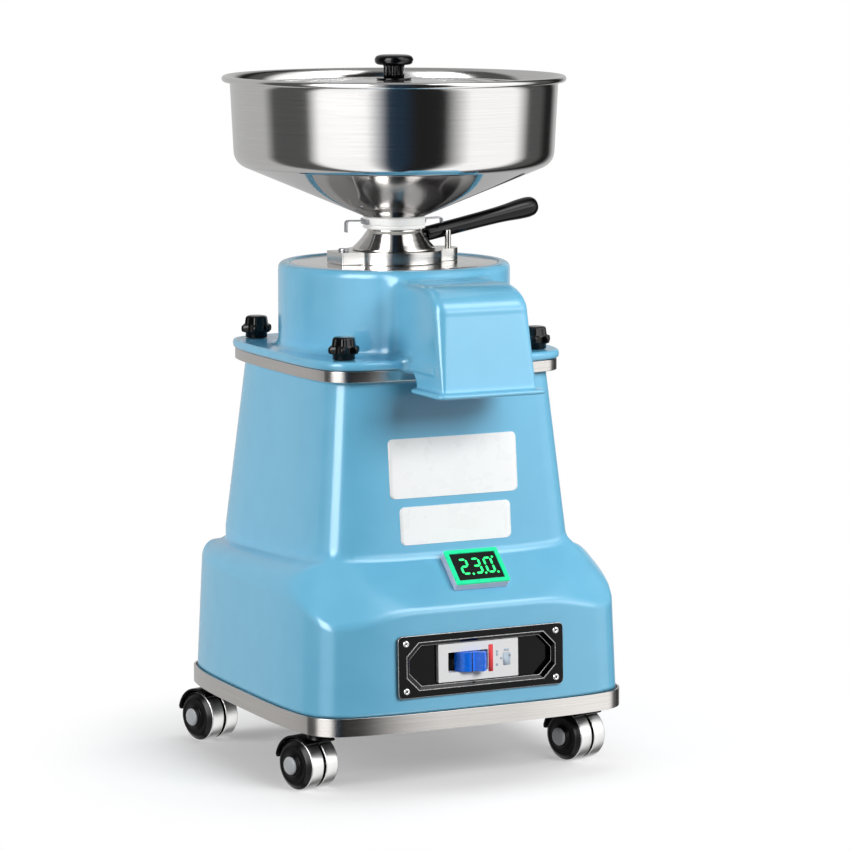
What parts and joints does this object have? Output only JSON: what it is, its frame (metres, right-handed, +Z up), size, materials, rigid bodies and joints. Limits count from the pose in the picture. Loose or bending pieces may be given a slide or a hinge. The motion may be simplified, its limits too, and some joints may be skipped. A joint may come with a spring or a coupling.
{
  "type": "domestic flour mill",
  "caption": "Upright flour mill: moulded stand on casters, stone chamber with a front spout, feed cone with lever, and a wide round hopper with a lid.",
  "frame": {"origin": "on the floor under the middle of the base; the spout faces -Y and the shaft stands 22 mm behind the origin", "axes": "+Z up, +X to the right of someone facing the spout, -Y to the front"},
  "size_m": [0.36, 0.3919, 0.7054],
  "materials": {
    "blue_shell": "glossy moulded",
    "brushed_steel": "brushed",
    "polished_steel": "polished, turned",
    "plate_steel": "painted",
    "black_plastic": "satin moulded",
    "white_plastic": "moulded",
    "meter_case": "moulded",
    "meter_bezel": "moulded, lit",
    "meter_window": "dark clear",
    "blue_toggle": "moulded",
    "dark_steel": "blackened",
    "wheel": "moulded, with a steel band over its tread",
    "hub_grey": "capped",
    "stone": "dressed grit",
    "cast_iron": "machined",
    "motor_paint": "painted casting",
    "motor_core": "laminated, varnished winding",
    "bearing_steel": "ground",
    "capacitor_can": "drawn can"
  },
  "bodies": {
    "stand": {"base_plate": "plate_steel", "base_band": "brushed_steel", "lower_housing": "blue_shell", "chamber_plate": "brushed_steel", "chamber_cover": "blue_shell", "top_disc": "brushed_steel", "adjuster_flange": "polished_steel", "stop_pin": "polished_steel", "ear_bolt": "polished_steel", "meter_case": "meter_case", "meter_bezel": "meter_bezel", "meter_window": "meter_window", "switch_panel": "black_plastic", "breaker_case": "white_plastic", "motor_frame": "motor_paint", "motor_top_bell": "motor_paint", "motor_bottom_bell": "motor_paint", "stator": "motor_core", "top_bearing": "bearing_steel", "bottom_bearing": "bearing_steel", "run_capacitor": "capacitor_can", "caster_mount_left_front": "dark_steel", "caster_mount_right_front": "dark_steel", "caster_mount_left_rear": "dark_steel", "caster_mount_right_rear": "dark_steel"},
    "clamp_knob_left_front": {"clamp_knob_left_front": "black_plastic"},
    "clamp_knob_right_front": {"clamp_knob_right_front": "black_plastic"},
    "clamp_knob_left_rear": {"clamp_knob_left_rear": "black_plastic"},
    "clamp_knob_right_rear": {"clamp_knob_right_rear": "black_plastic"},
    "breaker_toggle": {"breaker_toggle": "blue_toggle"},
    "rotor": {"motor_rotor": "bearing_steel", "cooling_fan": "black_plastic", "stone_driver": "cast_iron", "lower_stone": "stone"},
    "adjuster": {"feed_cone": "polished_steel", "lever_rod": "dark_steel", "lever_grip": "black_plastic"},
    "upper_stone_set": {"upper_stone": "stone", "upper_stone_carrier": "cast_iron"},
    "feed_ring_set": {"feed_ring": "white_plastic", "feed_ring_clip": "brushed_steel"},
    "hopper": {"hopper": "brushed_steel"},
    "lid": {"hopper_lid": "brushed_steel", "lid_knob": "black_plastic"},
    "caster_left_front": {"caster_hood_left_front": "black_plastic", "caster_axle_left_front": "hub_grey"},
    "wheel_left_front_left": {"caster_wheel_left_front_left": "wheel"},
    "wheel_left_front_right": {"caster_wheel_left_front_right": "wheel"},
    "caster_right_front": {"caster_hood_right_front": "black_plastic", "caster_axle_right_front": "hub_grey"},
    "wheel_right_front_left": {"caster_wheel_right_front_left": "wheel"},
    "wheel_right_front_right": {"caster_wheel_right_front_right": "wheel"},
    "caster_left_rear": {"caster_hood_left_rear": "black_plastic", "caster_axle_left_rear": "hub_grey"},
    "wheel_left_rear_left": {"caster_wheel_left_rear_left": "wheel"},
    "wheel_left_rear_right": {"caster_wheel_left_rear_right": "wheel"},
    "caster_right_rear": {"caster_hood_right_rear": "black_plastic", "caster_axle_right_rear": "hub_grey"},
    "wheel_right_rear_left": {"caster_wheel_right_rear_left": "wheel"},
    "wheel_right_rear_right": {"caster_wheel_right_rear_right": "wheel"}
  },
  "joints": [
    {"name": "clamp_knob_left_front_turn", "type": "hinge", "parent": "stand", "child": "clamp_knob_left_front", "pos_m": [-0.105, -0.083, 0.41541], "axis": [0, 0, 1], "range_deg": [0, 360]},
    {"name": "clamp_knob_right_front_turn", "type": "hinge", "parent": "stand", "child": "clamp_knob_right_front", "pos_m": [0.105, -0.083, 0.41541], "axis": [0, 0, 1], "range_deg": [0, 360]},
    {"name": "clamp_knob_left_rear_turn", "type": "hinge", "parent": "stand", "child": "clamp_knob_left_rear", "pos_m": [-0.105, 0.127, 0.41541], "axis": [0, 0, 1], "range_deg": [0, 360]},
    {"name": "clamp_knob_right_rear_turn", "type": "hinge", "parent": "stand", "child": "clamp_knob_right_rear", "pos_m": [0.105, 0.127, 0.41541], "axis": [0, 0, 1], "range_deg": [0, 360]},
    {"name": "breaker_switch", "type": "hinge", "parent": "stand", "child": "breaker_toggle", "pos_m": [-0.0128, -0.16439, 0.12514], "axis": [0, 0.0353, 0.9994], "range_deg": [-90, 0]},
    {"name": "rotor_spin", "type": "hinge", "parent": "stand", "child": "rotor", "pos_m": [0, 0.022, 0.22001], "axis": [0, 0, 1], "continuous": true},
    {"name": "lever_turn", "type": "hinge", "parent": "stand", "child": "adjuster", "pos_m": [0, 0.022, 0.51061], "axis": [0, 0, 1], "range_deg": [0, 75]},
    {"name": "stone_lift", "type": "slide", "parent": "stand", "child": "upper_stone_set", "axis": [0, 0, 1], "range_m": [0, 0.0025]},
    {"name": "feed_ring_turn", "type": "hinge", "parent": "stand", "child": "feed_ring_set", "pos_m": [0, 0.022, 0.53211], "axis": [0, 0, 1], "range_deg": [-25, 25]},
    {"name": "hopper_lift", "type": "slide", "parent": "stand", "child": "hopper", "axis": [0, 0, 1], "range_m": [0, 0.15]},
    {"name": "lid_lift", "type": "slide", "parent": "hopper", "child": "lid", "axis": [0, 0, 1], "range_m": [0, 0.1]},
    {"name": "caster_left_front_swivel", "type": "hinge", "parent": "stand", "child": "caster_left_front", "pos_m": [-0.148, -0.1145, 0.02501], "axis": [0, 0, 1], "continuous": true},
    {"name": "wheel_left_front_left_roll", "type": "hinge", "parent": "caster_left_front", "child": "wheel_left_front_left", "pos_m": [-0.15186, -0.10104, 0.02501], "axis": [0.9613, 0.2756, 0], "continuous": true},
    {"name": "wheel_left_front_right_roll", "type": "hinge", "parent": "caster_left_front", "child": "wheel_left_front_right", "pos_m": [-0.15186, -0.10104, 0.02501], "axis": [0.9613, 0.2756, 0], "continuous": true},
    {"name": "caster_right_front_swivel", "type": "hinge", "parent": "stand", "child": "caster_right_front", "pos_m": [0.148, -0.1145, 0.02501], "axis": [0, 0, 1], "continuous": true},
    {"name": "wheel_right_front_left_roll", "type": "hinge", "parent": "caster_right_front", "child": "wheel_right_front_left", "pos_m": [0.14414, -0.10104, 0.02501], "axis": [0.9613, 0.2756, 0], "continuous": true},
    {"name": "wheel_right_front_right_roll", "type": "hinge", "parent": "caster_right_front", "child": "wheel_right_front_right", "pos_m": [0.14414, -0.10104, 0.02501], "axis": [0.9613, 0.2756, 0], "continuous": true},
    {"name": "caster_left_rear_swivel", "type": "hinge", "parent": "stand", "child": "caster_left_rear", "pos_m": [-0.148, 0.1305, 0.02501], "axis": [0, 0, 1], "continuous": true},
    {"name": "wheel_left_rear_left_roll", "type": "hinge", "parent": "caster_left_rear", "child": "wheel_left_rear_left", "pos_m": [-0.15186, 0.14396, 0.02501], "axis": [0.9613, 0.2756, 0], "continuous": true},
    {"name": "wheel_left_rear_right_roll", "type": "hinge", "parent": "caster_left_rear", "child": "wheel_left_rear_right", "pos_m": [-0.15186, 0.14396, 0.02501], "axis": [0.9613, 0.2756, 0], "continuous": true},
    {"name": "caster_right_rear_swivel", "type": "hinge", "parent": "stand", "child": "caster_right_rear", "pos_m": [0.148, 0.1305, 0.02501], "axis": [0, 0, 1], "continuous": true},
    {"name": "wheel_right_rear_left_roll", "type": "hinge", "parent": "caster_right_rear", "child": "wheel_right_rear_left", "pos_m": [0.14414, 0.14396, 0.02501], "axis": [0.9613, 0.2756, 0], "continuous": true},
    {"name": "wheel_right_rear_right_roll", "type": "hinge", "parent": "caster_right_rear", "child": "wheel_right_rear_right", "pos_m": [0.14414, 0.14396, 0.02501], "axis": [0.9613, 0.2756, 0], "continuous": true}
  ],
  "couplings": [
    {"joint": "lever_turn", "follows": "stone_lift", "rad_per_m": 523.5}
  ]
}
